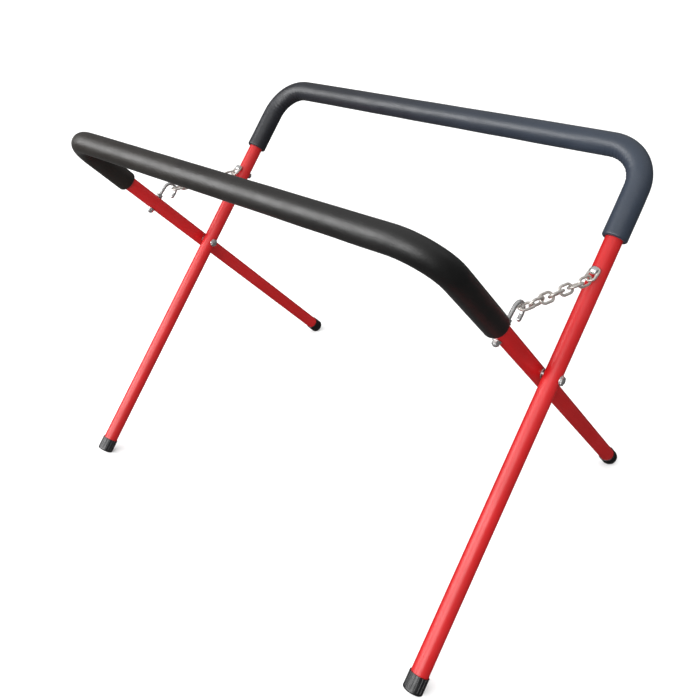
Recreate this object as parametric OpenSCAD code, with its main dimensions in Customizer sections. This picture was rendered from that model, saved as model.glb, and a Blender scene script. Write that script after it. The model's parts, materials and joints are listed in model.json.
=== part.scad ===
// Folding padded work stand: two identical U-shaped tube frames cross and pivot
// on bolts, and a chain on each side is hooked across to hold them open.
// +X runs along the top bars, -Y is the front, +Z is up. The origin is on the
// floor, midway between the four feet. Units are millimetres.

/* [Frames] */
// Outside diameter of the frame tube
tube_d = 25.4; // [24:0.2:27]
// Wall of the frame tube
tube_wall = 1.5; // [1.2:0.1:2]
// Distance between the two legs of one frame, centre to centre
leg_span = 764; // [600:1:900]
// Pivot to the centre line of the top bar, along the leg
upper_len = 351; // [320:1:420]
// Pivot to the end of the foot, along the leg
lower_len = 455; // [400:1:560]
// Bend radius of the tube at its centre line
bend_r = 60; // [50:1:80]
// Lean of each frame from vertical when open
lean = 42; // [38:0.5:44]
// Gap between the legs where they cross
leg_gap = 2; // [1.8:0.1:3]

/* [Pads] */
// Outside diameter of the foam sleeve
pad_d = 37; // [34:0.5:40]
// Pivot to the end of the sleeve, along the leg
pad_end = 212; // [205:1:240]
// The same, for the front frame's right leg, where the sleeve reaches lower
pad_end_low = 158; // [156:1:240]

/* [Feet] */
// Outside diameter of the foot cap
cap_d = 28.4; // [28:0.2:31]
// Length of the foot cap along the leg
cap_len = 24; // [18:1:34]
// Number of flutes round the cap
cap_flutes = 18; // [8:1:24]

/* [Hardware] */
// Shank diameter of the pivot bolt
pivot_d = 6.35; // [6:0.05:8]
// Wire diameter of the chain hook
hook_d = 6; // [5:0.2:6.4]
// Pivot to the chain hook's shank, along the leg
hook_at = 138; // [132:1:146]
// Distance between the two arms of the chain hook
hook_gap = 26; // [25:1:30]
// Leg centre line to the centre of the hook's curve
hook_rise = 36; // [34:1:40]
// Shank diameter of the bolt that holds the chain
chain_bolt_d = 5; // [4:0.2:5.4]
// Pivot to the chain bolt, along the leg
chain_bolt_at = 156; // [150:1:160]

/* [Chain] */
// Wire diameter of a chain link
wire_d = 4; // [3.6:0.1:4.2]
// Inside width of a chain link
link_w = 9; // [8.8:0.1:10]
// Tilt of the last link out of the rear frame's plane
last_tilt = 20; // [10:1:22]

/* [Hidden] */
$fn = 64;

tube_r = tube_d / 2;
shift = tube_d + leg_gap;            // sideways distance between the two frames
fit = 0.05;                          // radial play of a shank in its hole
skin = 0.1;                          // play of a pushed-on sleeve or cap
apart = 0.5;                         // least distance between parts that move
side_x = leg_span / 2;

// The foot's rounded rim touches the floor
cap_r = cap_d / 2;
rim_r = 2;                           // rounding of the foot's rim
cap_floor = 3;                       // thickness of the foot's closed end
pivot_z = (lower_len - rim_r) * cos(lean) + (cap_r - rim_r) * sin(lean) + rim_r;
flute_r = 0.8;                       // radius of a flute's round bottom
flute_out = 0.3;                     // how far outside the cap its centre lies
flute_low = 4;                       // where the flutes begin above the closed end

// Fasteners
washer_r = 6.3;
washer_t = 1;
nut_flats = 10;                      // across the flats
nut_h = 4.8;
dome_h = 3;                          // domed end of a cap nut
dome_inset = 0.4;                    // step from a cap nut's flats in to its dome
head_r = 6.2;                        // round heads of the pivot and chain bolts
bolt_head_h = 3;                     // height of the chain bolt's head
head_under = 20.2;                   // leg centre line to the underside of that head
pivot_head_h = 5;                    // height of the pivot bolt's head
pivot_nut_flats = 12;                // the pivot's cap nut, across the flats
pivot_nut_h = 2.6;                   // its hexagon's height
pivot_washer_r = 7.4;
play = 0.1;                          // between a fastener and the tube's crest

wire_r = wire_d / 2;
hook_r = hook_d / 2;
hook_arm = 6;                        // straight end of the hook past its curve
link_count = 8;
wire_sides = 32;                     // facets round a link's wire

// A place on a frame, from its sideways position, height off the frame's plane
// on its inner side, and distance up the leg. x is in the stand's own frame.
function front_at(x, off, up) =
    [x, off * cos(lean) - up * sin(lean), pivot_z + off * sin(lean) + up * cos(lean)];
function rear_at(x, off, up) = let (p = front_at(x, off, up)) [x, -p.y, p.z];
function unit(v) = v / norm(v);

// The right side's chain runs from the rear leg's bolt (link 8) to the front
// leg's hook (link 1). Link 8 lies under the bolt's head, and the rest are in line.
front_leg_x = side_x - shift / 2;
rear_leg_x = side_x + shift / 2;
link_down = [0, -cos(last_tilt) * sin(lean) - sin(last_tilt) * cos(lean),
    -cos(last_tilt) * cos(lean) + sin(last_tilt) * sin(lean)];
bolt_wire = rear_at(rear_leg_x, tube_r + wire_r + apart,
    chain_bolt_at + chain_bolt_d / 2 + wire_r + apart);
hook_centre = front_at(front_leg_x, hook_rise, hook_at - hook_gap / 2);
hook_rod = hook_centre + [0, hook_gap / 2, 0];

// Inside length of a link that makes the chain taut, refined from a first guess
function taut_len(guess, turns) =
    turns == 0 ? guess
    : let (from = bolt_wire + (guess + wire_d) * link_down)
      let (span = norm(hook_rod - from) + hook_r + wire_r + apart)
      taut_len((span + (link_count - 1) * apart) / (link_count - 1), turns - 1);
link_len = round(1000 * taut_len(20, 12)) / 1000; // whole micrometres, so that bows and sides meet
wires = link_len + wire_d;           // between a link's two end wires, centre to centre
last_wire = bolt_wire + wires * link_down;
chain_dir = unit(hook_rod - last_wire);

// Direction, near-end wire and roll of each link, numbered from the hook
function link_dir(i) = i == link_count ? link_down : chain_dir;
function link_start(i) =
    i == link_count ? bolt_wire
    : last_wire + ((link_count - 1 - i) * (link_len - apart) - wire_d - apart) * chain_dir;
rolls = [0, 70, -45, 45, -55, 28, -82, 0];

// Everything placed inside these is drawn with the leg upright, its pivot at the
// origin and the frame's inner side towards +Y
module on_front() {
    translate([-shift / 2, 0, pivot_z]) rotate([lean, 0, 0]) children();
}

module on_rear() {
    rotate([0, 0, 180]) on_front() children();
}

// A U of round bar: two legs from low to the bends, and the bar between
module u_shape(r, low_left, low_right) {
    top = upper_len - bend_r;
    for (side = [[-1, low_left], [1, low_right]]) {
        translate([side[0] * side_x, 0, side[1]]) cylinder(h = top - side[1], r = r);
        mirror([side[0] < 0 ? 1 : 0, 0, 0])
            translate([side_x - bend_r, 0, top])
                rotate([90, 0, 0])
                    rotate_extrude(angle = 90) translate([bend_r, 0]) circle(r = r);
    }
    translate([bend_r - side_x, 0, upper_len])
        rotate([0, 90, 0]) cylinder(h = leg_span - 2 * bend_r, r = r);
}

// Bent tube with open ends; cross_at and cross_r place and size the hole above each pivot
module frame_tube(cross_at, cross_r) {
    foot = cap_floor - lower_len;
    color([0.82, 0.1, 0.12])
        difference() {
            u_shape(tube_r, foot, foot);
            u_shape(tube_r - tube_wall, foot - 1, foot - 1);
            for (side = [-1, 1]) translate([side * side_x, 0, 0]) {
                rotate([0, 90, 0])
                    cylinder(h = 2 * tube_d, r = pivot_d / 2 + fit, center = true);
                translate([0, 0, cross_at])
                    rotate([90, 0, 0]) cylinder(h = 2 * tube_d, r = cross_r, center = true);
            }
        }
}

module pad(low_left, low_right, tint) {
    color(tint)
        difference() {
            u_shape(pad_d / 2, low_left, low_right);
            u_shape(tube_r + skin, low_left - 1, low_right - 1);
        }
}

// Fluted cup pushed over the end of a leg, its closed end down
module foot_cap(side) {
    color([0.06, 0.06, 0.06])
        translate([side * side_x, 0, -lower_len])
            difference() {
                union() {
                    translate([0, 0, rim_r]) cylinder(h = cap_len - rim_r, r = cap_r);
                    rotate_extrude() {
                        square([cap_r - rim_r, rim_r]);
                        translate([cap_r - rim_r, rim_r])
                            intersection() {
                                circle(r = rim_r);
                                translate([0, -rim_r]) square(rim_r);
                            }
                    }
                }
                translate([0, 0, cap_floor]) cylinder(h = cap_len, r = tube_r + skin);
                for (i = [0 : cap_flutes - 1])
                    rotate([0, 0, i * 360 / cap_flutes])
                        translate([cap_r + flute_out, 0, flute_low])
                            cylinder(h = cap_len, r = flute_r, $fn = 16);
            }
}

// Fastener shapes stand on z = 0 with their axis along +Z
module hex_nut(h, bore) {
    difference() {
        cylinder(h = h, r = nut_flats / 2 / cos(30), $fn = 6);
        translate([0, 0, -1]) cylinder(h = h + 2, r = bore);
    }
}

module washer(bore, r = washer_r) {
    difference() {
        cylinder(h = washer_t, r = r);
        translate([0, 0, -1]) cylinder(h = washer_t + 2, r = bore);
    }
}

// Closed nut: a hexagon with a domed end, bored from below
module cap_nut(flats, hex_h, dome, bore) {
    difference() {
        union() {
            cylinder(h = hex_h, r = flats / 2 / cos(30), $fn = 6);
            translate([0, 0, hex_h]) round_head(flats / 2 - dome_inset, dome);
        }
        translate([0, 0, -1]) cylinder(h = hex_h + 1, r = bore);
    }
}

// Shallow dome of base radius r and height h
module round_head(r, h) {
    ball = (r * r + h * h) / (2 * h);
    rotate_extrude()
        intersection() {
            translate([0, h - ball]) circle(r = ball);
            square([r, h]);
        }
}

// Pivot stack, from the front frame's outer side to the rear frame's other side
stack_low = -tube_r - play - washer_t;
stack_high = shift + tube_r + apart + washer_t;
pivot_dome_h = play + pivot_head_h - apart - pivot_nut_h; // as proud as the bolt's head

module pivot_bolt(side) {
    color("silver")
        on_front() translate([side * side_x, 0, 0]) rotate([0, 90, 0]) {
            translate([0, 0, stack_low]) rotate([180, 0, 0]) round_head(head_r, pivot_head_h);
            translate([0, 0, stack_low])
                cylinder(h = stack_high + pivot_nut_h - stack_low, r = pivot_d / 2);
        }
}

module pivot_nut(side) {
    color("gray")
        on_front() translate([side * side_x + stack_high, 0, 0])
            rotate([0, 90, 0]) cap_nut(pivot_nut_flats, pivot_nut_h, pivot_dome_h, pivot_d / 2);
}

module pivot_washers(side) {
    color("darkgray")
        on_front() translate([side * side_x, 0, 0]) rotate([0, 90, 0])
            for (z = [stack_low, tube_r + play, stack_high - washer_t])
                translate([0, 0, z]) washer(pivot_d / 2 + fit, pivot_washer_r);
}

// Bent rod through the leg, hooked over towards the pivot
module chain_hook(side) {
    color("silver")
        on_front() translate([side * side_x, 0, hook_at]) {
            translate([0, hook_rise, 0]) rotate([90, 0, 0])
                cylinder(h = hook_rise + tube_r + play + washer_t + nut_h, r = hook_r);
            translate([0, hook_rise, -hook_gap / 2]) rotate([0, -90, 0])
                rotate_extrude(angle = 180) translate([hook_gap / 2, 0]) circle(r = hook_r);
            translate([0, hook_rise, -hook_gap]) rotate([90, 0, 0]) {
                cylinder(h = hook_arm, r = hook_r);
                translate([0, 0, hook_arm]) sphere(r = hook_r);
            }
        }
}

// Fasteners on a frame's cross bolt: off is where the part stands on the bolt
module on_cross(side, up, off, outward) {
    translate([side * side_x, outward * off, up]) rotate([-outward * 90, 0, 0]) children();
}

module hook_cap_nut(side) {
    color("silver")
        on_front() on_cross(side, hook_at, tube_r + play + washer_t, -1)
            cap_nut(nut_flats, nut_h, dome_h, hook_r);
}

module hook_lock_nut(side) {
    color("gray")
        on_front() on_cross(side, hook_at, tube_r + play + washer_t, 1) hex_nut(nut_h, hook_r);
}

module hook_washers() {
    color("darkgray")
        on_front() for (side = [-1, 1], outward = [-1, 1])
            on_cross(side, hook_at, tube_r + play, outward) washer(hook_r + fit);
}

module chain_bolt(side) {
    color("silver")
        on_rear() translate([-side * side_x, 0, chain_bolt_at]) {
            translate([0, head_under, 0]) rotate([-90, 0, 0])
                round_head(head_r, bolt_head_h);
            translate([0, head_under, 0]) rotate([90, 0, 0])
                cylinder(h = head_under + tube_r + play + washer_t + nut_h, r = chain_bolt_d / 2);
        }
}

module chain_nut(side) {
    color("gray")
        on_rear() on_cross(-side, chain_bolt_at, tube_r + play + washer_t, -1)
            hex_nut(nut_h, chain_bolt_d / 2);
}

module chain_washers() {
    color("darkgray")
        on_rear() for (side = [-1, 1])
            on_cross(side, chain_bolt_at, tube_r + play, -1) washer(chain_bolt_d / 2 + fit);
}

// Closed oval of round wire, its length along +X and its first end wire at x = 0
module link_shape() {
    half = (link_w + wire_d) / 2;
    for (side = [-1, 1])
        translate([half, side * half, 0]) rotate([0, 90, 0])
            cylinder(h = wires - 2 * half, r = wire_r, $fn = wire_sides);
    for (turn = [[half, 90], [wires - half, -90]])
        translate([turn[0], 0, 0]) rotate([0, 0, turn[1]])
            rotate_extrude(angle = 180) translate([half, 0]) circle(r = wire_r, $fn = wire_sides);
}

module chain_link(side, i) {
    d = link_dir(i);
    color([0.66, 0.63, 0.6])
        translate(side < 0 ? [-leg_span, 0, 0] : [0, 0, 0])
            translate(link_start(i))
                rotate([0, -asin(d.z), atan2(d.y, d.x)])
                    rotate([rolls[i - 1], 0, 0]) link_shape();
}

on_front() frame_tube(hook_at, hook_r + fit);  // front_frame_tube
on_rear() frame_tube(chain_bolt_at, chain_bolt_d / 2 + fit);  // rear_frame_tube
on_front() pad(pad_end, pad_end_low, [0.1, 0.1, 0.1]);  // front_pad
on_rear() pad(pad_end, pad_end, [0.25, 0.27, 0.31]);  // rear_pad
on_rear() foot_cap(-1);  // front_right_foot_cap
on_rear() foot_cap(1);  // front_left_foot_cap
on_front() foot_cap(1);  // rear_right_foot_cap
on_front() foot_cap(-1);  // rear_left_foot_cap
pivot_bolt(1);  // right_pivot_bolt
pivot_bolt(-1);  // left_pivot_bolt
pivot_nut(1);  // right_pivot_nut
pivot_nut(-1);  // left_pivot_nut
pivot_washers(1);  // right_pivot_washers
pivot_washers(-1);  // left_pivot_washers
chain_hook(1);  // right_chain_hook
chain_hook(-1);  // left_chain_hook
hook_cap_nut(1);  // right_hook_cap_nut
hook_cap_nut(-1);  // left_hook_cap_nut
hook_lock_nut(1);  // right_hook_lock_nut
hook_lock_nut(-1);  // left_hook_lock_nut
hook_washers();
chain_bolt(1);  // right_chain_bolt
chain_bolt(-1);  // left_chain_bolt
chain_nut(1);  // right_chain_nut
chain_nut(-1);  // left_chain_nut
chain_washers();
for (i = [1 : link_count]) {
    chain_link(1, i);
    chain_link(-1, i);
}
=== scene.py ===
"""Looks of the folding padded work stand: foam sleeves, paint, zinc and rubber, and a white studio."""

import json
from math import cos, exp, pi, radians, sin

import bpy
from mathutils import Euler, Matrix, Vector, noise


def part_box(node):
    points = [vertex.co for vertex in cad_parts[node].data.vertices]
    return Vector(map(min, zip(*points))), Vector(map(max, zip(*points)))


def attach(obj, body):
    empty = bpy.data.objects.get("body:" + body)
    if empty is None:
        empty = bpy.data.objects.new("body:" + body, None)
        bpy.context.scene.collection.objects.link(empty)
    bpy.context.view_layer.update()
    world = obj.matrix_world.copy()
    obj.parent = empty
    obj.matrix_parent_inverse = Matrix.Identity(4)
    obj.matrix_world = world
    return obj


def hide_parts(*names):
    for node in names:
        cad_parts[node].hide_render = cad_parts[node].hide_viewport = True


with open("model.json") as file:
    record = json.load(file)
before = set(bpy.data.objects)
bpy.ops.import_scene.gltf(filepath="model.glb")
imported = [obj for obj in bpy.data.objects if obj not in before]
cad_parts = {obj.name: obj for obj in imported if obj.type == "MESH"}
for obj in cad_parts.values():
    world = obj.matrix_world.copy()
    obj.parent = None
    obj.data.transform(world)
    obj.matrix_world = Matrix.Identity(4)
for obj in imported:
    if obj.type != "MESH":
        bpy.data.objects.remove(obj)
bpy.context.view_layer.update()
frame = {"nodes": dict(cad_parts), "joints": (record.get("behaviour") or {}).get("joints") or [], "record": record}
nodes = frame["nodes"]
fold = next(j for j in frame["joints"] if j["name"] == "fold")
pivot = Vector(fold["pos_m"])
MM = 0.001


# Shader building blocks

class Shader:
    """A node material with one Principled shader and a few ways to add to it."""

    def __init__(self, name, color, roughness, metallic=0.0):
        self.material = bpy.data.materials.new(name)
        self.material.use_nodes = True
        self.tree = self.material.node_tree
        self.bsdf = self.tree.nodes["Principled BSDF"]
        self.set(**{"Base Color": (*color, 1), "Roughness": roughness, "Metallic": metallic})
        self.coord = self.tree.nodes.new("ShaderNodeTexCoord").outputs["Object"]

    def set(self, **sockets):
        for name, value in sockets.items():
            self.bsdf.inputs[name].default_value = value

    def link(self, source, target):
        self.tree.links.new(source, target)

    def stretched(self, scale):
        """Object coordinates multiplied by scale, to draw a pattern out along an axis."""
        mapping = self.tree.nodes.new("ShaderNodeMapping")
        mapping.inputs["Scale"].default_value = scale
        self.link(self.coord, mapping.inputs["Vector"])
        return mapping.outputs["Vector"]

    def noise(self, size, detail=3.0, rough=0.5, coord=None):
        """Noise from 0 to 1 whose grains are about size metres across."""
        node = self.tree.nodes.new("ShaderNodeTexNoise")
        node.inputs["Scale"].default_value = 1 / size
        node.inputs["Detail"].default_value = detail
        node.inputs["Roughness"].default_value = rough
        self.link(coord or self.coord, node.inputs["Vector"])
        return node.outputs["Fac"]

    def cells(self, size):
        """Distance to the nearest of points scattered about size metres apart."""
        node = self.tree.nodes.new("ShaderNodeTexVoronoi")
        node.inputs["Scale"].default_value = 1 / size
        self.link(self.coord, node.inputs["Vector"])
        return node.outputs["Distance"]

    def remap(self, value, low, high, to_low=0.0, to_high=1.0):
        node = self.tree.nodes.new("ShaderNodeMapRange")
        node.interpolation_type = "SMOOTHSTEP"
        bounds = {"From Min": low, "From Max": high, "To Min": to_low, "To Max": to_high}
        for name, bound in bounds.items():
            node.inputs[name].default_value = bound
        self.link(value, node.inputs["Value"])
        return node.outputs["Result"]

    def math(self, operation, a, b):
        node = self.tree.nodes.new("ShaderNodeMath")
        node.operation = operation
        for value, socket in zip((a, b), node.inputs):
            if isinstance(value, (int, float)):
                socket.default_value = value
            else:
                self.link(value, socket)
        return node.outputs["Value"]

    def mix(self, factor, first, second):
        """The color first where factor is 0 and second where it is 1."""
        node = self.tree.nodes.new("ShaderNodeMix")
        node.data_type = "RGBA"
        self.link(factor, node.inputs[0])
        for color, socket in ((first, node.inputs[6]), (second, node.inputs[7])):
            if isinstance(color, tuple):
                socket.default_value = (*color, 1)
            else:
                self.link(color, socket)
        return node.outputs[2]

    def paint(self, color):
        self.link(color, self.bsdf.inputs["Base Color"])

    def roughen(self, value):
        self.link(value, self.bsdf.inputs["Roughness"])

    def bump(self, *layers):
        """Stacks (height, depth in metres) layers of relief on the surface."""
        normal = None
        for height, depth in layers:
            node = self.tree.nodes.new("ShaderNodeBump")
            node.inputs["Distance"].default_value = depth
            self.link(height, node.inputs["Height"])
            if normal:
                self.link(normal, node.inputs["Normal"])
            normal = node.outputs["Normal"]
        self.link(normal, self.bsdf.inputs["Normal"])


# Materials

def red_paint():
    """Semi-gloss baked enamel with a faint orange peel, duller patches and a few small chips."""
    s = Shader("red_enamel", (0.53, 0.005, 0.008), 0.42)
    s.set(**{"Specular IOR Level": 0.62})
    tone = s.remap(s.noise(90 * MM), 0.3, 0.7)
    enamel = s.mix(tone, (0.45, 0.003, 0.004), (0.505, 0.005, 0.007))
    chips = s.remap(s.noise(5 * MM, 5), 0.765, 0.775)
    s.paint(s.mix(chips, enamel, (0.17, 0.10, 0.09)))
    s.roughen(s.remap(s.noise(35 * MM, 4), 0.3, 0.75, 0.36, 0.46))
    s.bump((s.noise(2.4 * MM, 2), 0.05 * MM), (s.math("SUBTRACT", 1.0, chips), 0.1 * MM))
    return s.material


def foam(name, dark, light, right_light_tint):
    """Skinned closed-cell foam, dark to light in clouds; towards the right it turns to a painted-light colour,
    painted shade on the front sleeve and painted bluish light on the rear one.
    """
    s = Shader(name, dark, 0.5)
    s.set(**{"Sheen Weight": 0.04, "Sheen Roughness": 0.4, "Specular IOR Level": 0.74})
    cloudy = s.remap(s.noise(60 * MM, 4), 0.3, 0.7)
    speckle = s.remap(s.noise(1.6 * MM, 2), 0.35, 0.75)
    body = s.mix(cloudy, dark, light)
    across = s.tree.nodes.new("ShaderNodeSeparateXYZ")
    s.link(s.coord, across.inputs["Vector"])
    # Painted light: from left to right the foam is mixed to its right-hand colour, painted shade on the front
    # sleeve and painted bluish light on the rear one.
    right_light_share = s.remap(across.outputs["X"], -0.35, 0.42)
    body = s.mix(right_light_share, body, s.mix(cloudy, right_light_tint, tuple(1.12 * c for c in right_light_tint)))
    fleck = tuple(1.6 * c + 0.004 for c in right_light_tint)
    s.paint(s.mix(s.math("MULTIPLY", speckle, 0.25), body, fleck))
    s.roughen(s.remap(s.noise(25 * MM, 4), 0.3, 0.7, 0.42, 0.5))
    pores = s.remap(s.cells(1.1 * MM), 0.0, 0.45)
    drag = s.noise(1.5 * MM, 3, coord=s.stretched((0.06, 1.0, 1.0)))
    s.bump((s.noise(14 * MM, 2), 0.35 * MM), (drag, 0.12 * MM), (pores, 0.05 * MM))
    return s.material


def cap_rubber():
    """Moulded black rubber with uneven shine, a little dusty low down."""
    s = Shader("cap_rubber", (0.012, 0.012, 0.013), 0.4)
    s.set(**{"Specular IOR Level": 0.8})
    height = s.tree.nodes.new("ShaderNodeSeparateXYZ")
    s.link(s.coord, height.inputs["Vector"])
    low = s.remap(height.outputs["Z"], 0.0, 0.014, 1.0, 0.0)
    dust = s.math("MULTIPLY", low, s.remap(s.noise(6 * MM, 5), 0.4, 0.65))
    s.paint(s.mix(dust, (0.008, 0.008, 0.009), (0.07, 0.066, 0.06)))
    s.roughen(s.remap(s.noise(8 * MM, 4), 0.3, 0.7, 0.3, 0.46))
    s.bump((s.noise(0.9 * MM, 3), 0.06 * MM))
    return s.material


def zinc(name, bright, dull, shine, rough_low, rough_high, grain):
    """Zinc-plated steel: cloudy plating, fine grain and darker spots."""
    s = Shader(name, bright, rough_low, shine)
    cloudy = s.remap(s.noise(7 * MM, 5, 0.6), 0.35, 0.7)
    spots = s.remap(s.noise(2.2 * MM, 4), 0.66, 0.74)
    plated = s.mix(cloudy, bright, dull)
    s.paint(s.mix(spots, plated, tuple(0.45 * c for c in dull)))
    s.roughen(s.remap(s.noise(4 * MM, 4), 0.3, 0.7, rough_low, rough_high))
    s.bump((s.noise(grain, 3), 0.03 * MM), (s.noise(3 * MM, 2), 0.08 * MM))
    return s.material


MATERIALS = {
    "red_paint": red_paint(),
    # The last colour of each foam is painted light on its right side: painted shade on the front sleeve, painted
    # bluish light on the rear sleeve.
    "front_foam": foam("front_foam", (0.011, 0.008, 0.006), (0.016, 0.013, 0.010), (0.003, 0.003, 0.003)),
    "rear_foam": foam("rear_foam", (0.008, 0.008, 0.010), (0.012, 0.012, 0.015), (0.019, 0.028, 0.045)),
    "foot_rubber": cap_rubber(),
    "zinc": zinc("bright_zinc", (0.82, 0.82, 0.81), (0.64, 0.64, 0.64), 0.88, 0.2, 0.36, 0.6 * MM),
    "chain_steel": zinc("chain_zinc", (0.82, 0.78, 0.73), (0.56, 0.52, 0.48), 0.75, 0.3, 0.46, 0.5 * MM),
}


def dress_cad_nodes():
    """Each CAD node takes the material of its slot in the record."""
    for subpart in frame["record"]["subparts"]:
        mesh = nodes[subpart["node"]].data
        mesh.materials.clear()
        mesh.materials.append(MATERIALS[subpart["material_slot"]])


# Foam sleeves

PAD_R = 18.5 * MM                    # outside radius of the CAD sleeve
BORE_R = 12.9 * MM                   # the tube's radius and its play
BEND_R = 60 * MM                     # the bend's centre line
LIP_R = 3.0 * MM                     # rounding of the sleeve's cut ends
LIP_RINGS = 8
RING_STEP = 2.0 * MM                 # between rings of the skin
BORE_STEP = 5.0 * MM                 # between rings of the bore
RING_SIDES = 72
SKIN_IN = 0.15 * MM                  # inward from the CAD skin, before the next sizes are added
BUNCH = 0.25 * MM                    # swelling inside a bend
STRETCH = 0.55 * MM                  # thinning outside a bend
WRINKLE = 0.45 * MM                  # half the height of the wrinkles inside a bend
WRINKLE_STEP = 8.5 * MM              # from one wrinkle to the next
UNEVEN = 0.3 * MM                    # slow unevenness along the whole sleeve
PAD_END = 212 * MM                   # pivot to a sleeve's end, along the leg
PAD_END_LOW = 158 * MM               # the same, on the front frame's right leg


class Route:
    """Centre line of a U-shaped sleeve, walked from its left end over the bar to its right end."""

    def __init__(self, node, low_left, low_right):
        low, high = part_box(node)
        front = abs(low.y) > abs(high.y)
        self.bar = Vector((0, low.y + PAD_R if front else high.y - PAD_R, high.z - PAD_R))
        self.left, self.right = low.x + PAD_R, high.x - PAD_R
        rise = self.bar - Vector((0, pivot.y, pivot.z))
        self.up = rise.normalized()
        self.side = Vector((1, 0, 0))
        self.facing = self.side.cross(self.up)
        straight = rise.length - BEND_R
        self.parts = [straight - low_left, BEND_R * pi / 2, self.right - self.left - 2 * BEND_R,
                      BEND_R * pi / 2, straight - low_right]
        self.length = sum(self.parts)

    def at(self, s):
        """Centre and outward in-plane normal, s metres from the left end."""
        leg_l, bend, bar, _, _ = self.parts
        corner_l = self.bar + self.side * (self.left + BEND_R) - self.up * BEND_R
        corner_r = self.bar + self.side * (self.right - BEND_R) - self.up * BEND_R
        if s <= leg_l:
            return corner_l - self.side * BEND_R - self.up * (leg_l - s), -self.side
        if s <= leg_l + bend:
            turn = (s - leg_l) / BEND_R
            out = -self.side * cos(turn) + self.up * sin(turn)
            return corner_l + out * BEND_R, out
        if s <= leg_l + bend + bar:
            return corner_l + self.up * BEND_R + self.side * (s - leg_l - bend), self.up
        if s <= leg_l + 2 * bend + bar:
            turn = (s - leg_l - bend - bar) / BEND_R
            out = self.up * cos(turn) + self.side * sin(turn)
            return corner_r + out * BEND_R, out
        fall = s - leg_l - 2 * bend - bar
        return corner_r + self.side * BEND_R - self.up * fall, self.side

    def bend_share(self, s):
        """1 in the middle of a bend, falling smoothly to 0 a little way past its ends."""
        leg_l, bend, bar, _, _ = self.parts
        middles = (leg_l + bend / 2, leg_l + 1.5 * bend + bar)
        return max(exp(-(((s - m) / (0.55 * bend)) ** 4)) for m in middles)


def sleeve_radius(route, s, out_share, seed):
    """Skin radius: fullest inside the bends, where the foam bunches into soft wrinkles."""
    bend = route.bend_share(s)
    inner = max(0.0, -out_share)
    outer = max(0.0, out_share)
    swell = BUNCH * bend * inner - STRETCH * bend * outer
    ripple = noise.noise(Vector((s / (11 * MM), seed, out_share * 0.8)))
    wrinkle = WRINKLE * bend * inner ** 2 * (sin(2 * pi * s / WRINKLE_STEP + 3 * ripple) - 0.5)
    uneven = UNEVEN * (noise.noise(Vector((s / (55 * MM), out_share * 1.5, seed))) - 0.4)
    return PAD_R - SKIN_IN + swell + wrinkle + uneven


def ring(route, s, radius_of):
    """Points round the sleeve at s; radius_of takes 1 at the outside of a bend, -1 at the inside."""
    centre, out = route.at(s)
    points = []
    for k in range(RING_SIDES):
        angle = 2 * pi * k / RING_SIDES
        direction = out * cos(angle) + route.facing * sin(angle)
        points.append(centre + direction * radius_of(cos(angle)))
    return points


def lip_rings(route, end, seed):
    """Rings of a rounded cut end, from its mouth out to the skin; end is 0 or the length."""
    inward = 1 if end == 0 else -1
    skin = end + inward * LIP_R
    rings = []
    for k in range(1, LIP_RINGS + 1):
        turn = pi / 2 * k / LIP_RINGS
        cut = LIP_R * (1 - sin(turn))
        rings.append(ring(route, end + inward * LIP_R * (1 - cos(turn)),
                          lambda c: sleeve_radius(route, skin, c, seed) - cut))
    return rings


def make_sleeve(name, node, body, low_left, low_right, slot, seed):
    """A foam sleeve as one closed skin: rounded cut ends, outside and bore.

    low_left and low_right are where its ends lie, from the pivot along each leg.
    """
    route = Route(node, low_left, low_right)
    rings = lip_rings(route, 0, seed)
    count = round((route.length - 2 * LIP_R) / RING_STEP)
    for k in range(1, count):
        s = LIP_R + (route.length - 2 * LIP_R) * k / count
        rings.append(ring(route, s, lambda c: sleeve_radius(route, s, c, seed)))
    rings += reversed(lip_rings(route, route.length, seed))
    count = round(route.length / BORE_STEP)
    for k in range(count, -1, -1):
        rings.append(ring(route, route.length * k / count, lambda c: BORE_R))
    verts = [p for r in rings for p in r]
    faces = []
    for i in range(len(rings)):
        a = i * RING_SIDES
        b = (i + 1) % len(rings) * RING_SIDES
        for k in range(RING_SIDES):
            j = (k + 1) % RING_SIDES
            faces.append((a + k, a + j, b + j, b + k))
    mesh = bpy.data.meshes.new(name)
    mesh.from_pydata(verts, [], faces)
    mesh.polygons.foreach_set("use_smooth", [True] * len(faces))
    mesh.materials.append(MATERIALS[slot])
    piece = bpy.data.objects.new(name, mesh)
    bpy.context.scene.collection.objects.link(piece)
    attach(piece, body)
    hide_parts(node)


# Studio: the floor and the air around are seen pale, and light the stand only softly

FLOOR_SEEN, FLOOR_BOUNCE, FLOOR_MIRRORED = 0.9, 0.38, 0.02
AIR_SEEN, AIR_LIGHT, AIR_MIRRORED = 1.0, 0.8, 0.07
FLOOR_REACH = 40                     # half the floor's side, metres


def light_path(tree):
    """What kind of ray is asking, for the floor and the air only."""
    return tree.nodes.new("ShaderNodeLightPath").outputs


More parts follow.
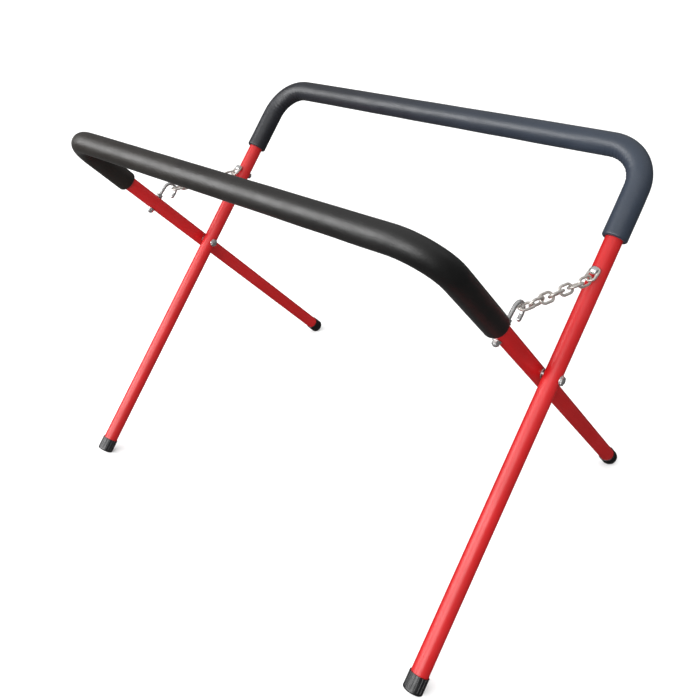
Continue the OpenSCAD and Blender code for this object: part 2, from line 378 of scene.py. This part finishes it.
def make_floor():
    mesh = bpy.data.meshes.new("floor")
    corners = ((-1, -1), (1, -1), (1, 1), (-1, 1))
    mesh.from_pydata([(FLOOR_REACH * x, FLOOR_REACH * y, 0) for x, y in corners], [], [(0, 1, 2, 3)])
    floor = bpy.data.objects.new("floor", mesh)
    s = Shader("studio_floor", (0.9, 0.9, 0.9), 0.7)
    s.set(**{"Specular IOR Level": 0.1})
    s.bump((s.noise(0.02), 0.02 * MM))
    path = light_path(s.tree)
    bounce = s.mix(path["Is Glossy Ray"], (FLOOR_BOUNCE,) * 3, (FLOOR_MIRRORED,) * 3)
    s.paint(s.mix(path["Is Camera Ray"], bounce, (FLOOR_SEEN,) * 3))
    distance = s.tree.nodes.new("ShaderNodeVectorMath")
    distance.operation = "LENGTH"
    s.link(s.coord, distance.inputs[0])
    s.set(**{"Emission Color": (1, 1, 1, 1)})
    far_glow = s.remap(distance.outputs["Value"], 0.3, 6.0, 0.05, 0.6)
    s.link(s.math("MULTIPLY", path["Is Camera Ray"], far_glow), s.bsdf.inputs["Emission Strength"])
    mesh.materials.append(s.material)
    bpy.context.scene.collection.objects.link(floor)


def make_light(name, place, target, size, power):
    """A soft rectangular light of size metres and power watts, facing target."""
    data = bpy.data.lights.new(name, "AREA")
    data.shape = "RECTANGLE"
    data.size, data.size_y = size
    data.energy = power
    light = bpy.data.objects.new(name, data)
    light.location = place
    light.rotation_euler = (Vector(target) - Vector(place)).to_track_quat("-Z", "Y").to_euler()
    bpy.context.scene.collection.objects.link(light)


def make_world():
    """White air: one strength for the camera, one for its light and one for its reflections."""
    world = bpy.data.worlds.new("studio")
    world.use_nodes = True
    tree = world.node_tree
    path = light_path(tree)
    unseen = tree.nodes.new("ShaderNodeMapRange")
    unseen.inputs["To Min"].default_value = AIR_LIGHT
    unseen.inputs["To Max"].default_value = AIR_MIRRORED
    tree.links.new(path["Is Glossy Ray"], unseen.inputs["Value"])
    strength = tree.nodes.new("ShaderNodeMapRange")
    strength.inputs["To Max"].default_value = AIR_SEEN
    tree.links.new(path["Is Camera Ray"], strength.inputs["Value"])
    tree.links.new(unseen.outputs["Result"], strength.inputs["To Min"])
    background = tree.nodes["Background"]
    background.inputs["Color"].default_value = (1, 1, 1, 1)
    tree.links.new(strength.outputs["Result"], background.inputs["Strength"])
    bpy.context.scene.world = world


def make_camera():
    """A close, wide-angle view from the front right and above, dipping slightly to the right."""
    heading, pitch, roll = radians(45.217), radians(26.507), radians(-2.796)
    data = bpy.data.cameras.new("camera")
    data.sensor_width = 36
    data.lens = 39.61
    data.shift_x, data.shift_y = 0.0214, -0.09
    camera = bpy.data.objects.new("camera", data)
    place = Matrix.Translation(pivot + Vector((817.1, -828.9, 594.7)) * MM)
    aim = Euler((pi / 2 - pitch, 0, heading)).to_matrix().to_4x4()
    camera.matrix_world = place @ aim @ Matrix.Rotation(roll, 4, "Z")
    bpy.context.scene.collection.objects.link(camera)
    bpy.context.scene.camera = camera


dress_cad_nodes()
make_sleeve("front_sleeve", "front_pad", "front_frame", PAD_END, PAD_END_LOW, "front_foam", 3.0)
make_sleeve("rear_sleeve", "rear_pad", "rear_frame", PAD_END, PAD_END, "rear_foam", 8.0)
make_floor()
make_light("key", (-1.8, -2.1, 1.6), pivot, (2.2, 1.7), 78)
make_light("front", (0.7, -2.8, 1.7), pivot, (2.4, 1.5), 70)
make_light("ceiling", (0, 2.5, 5), (0, 2.5, 0), (11, 13), 185)
make_world()
make_camera()
bpy.context.scene.view_settings.view_transform = "Standard"
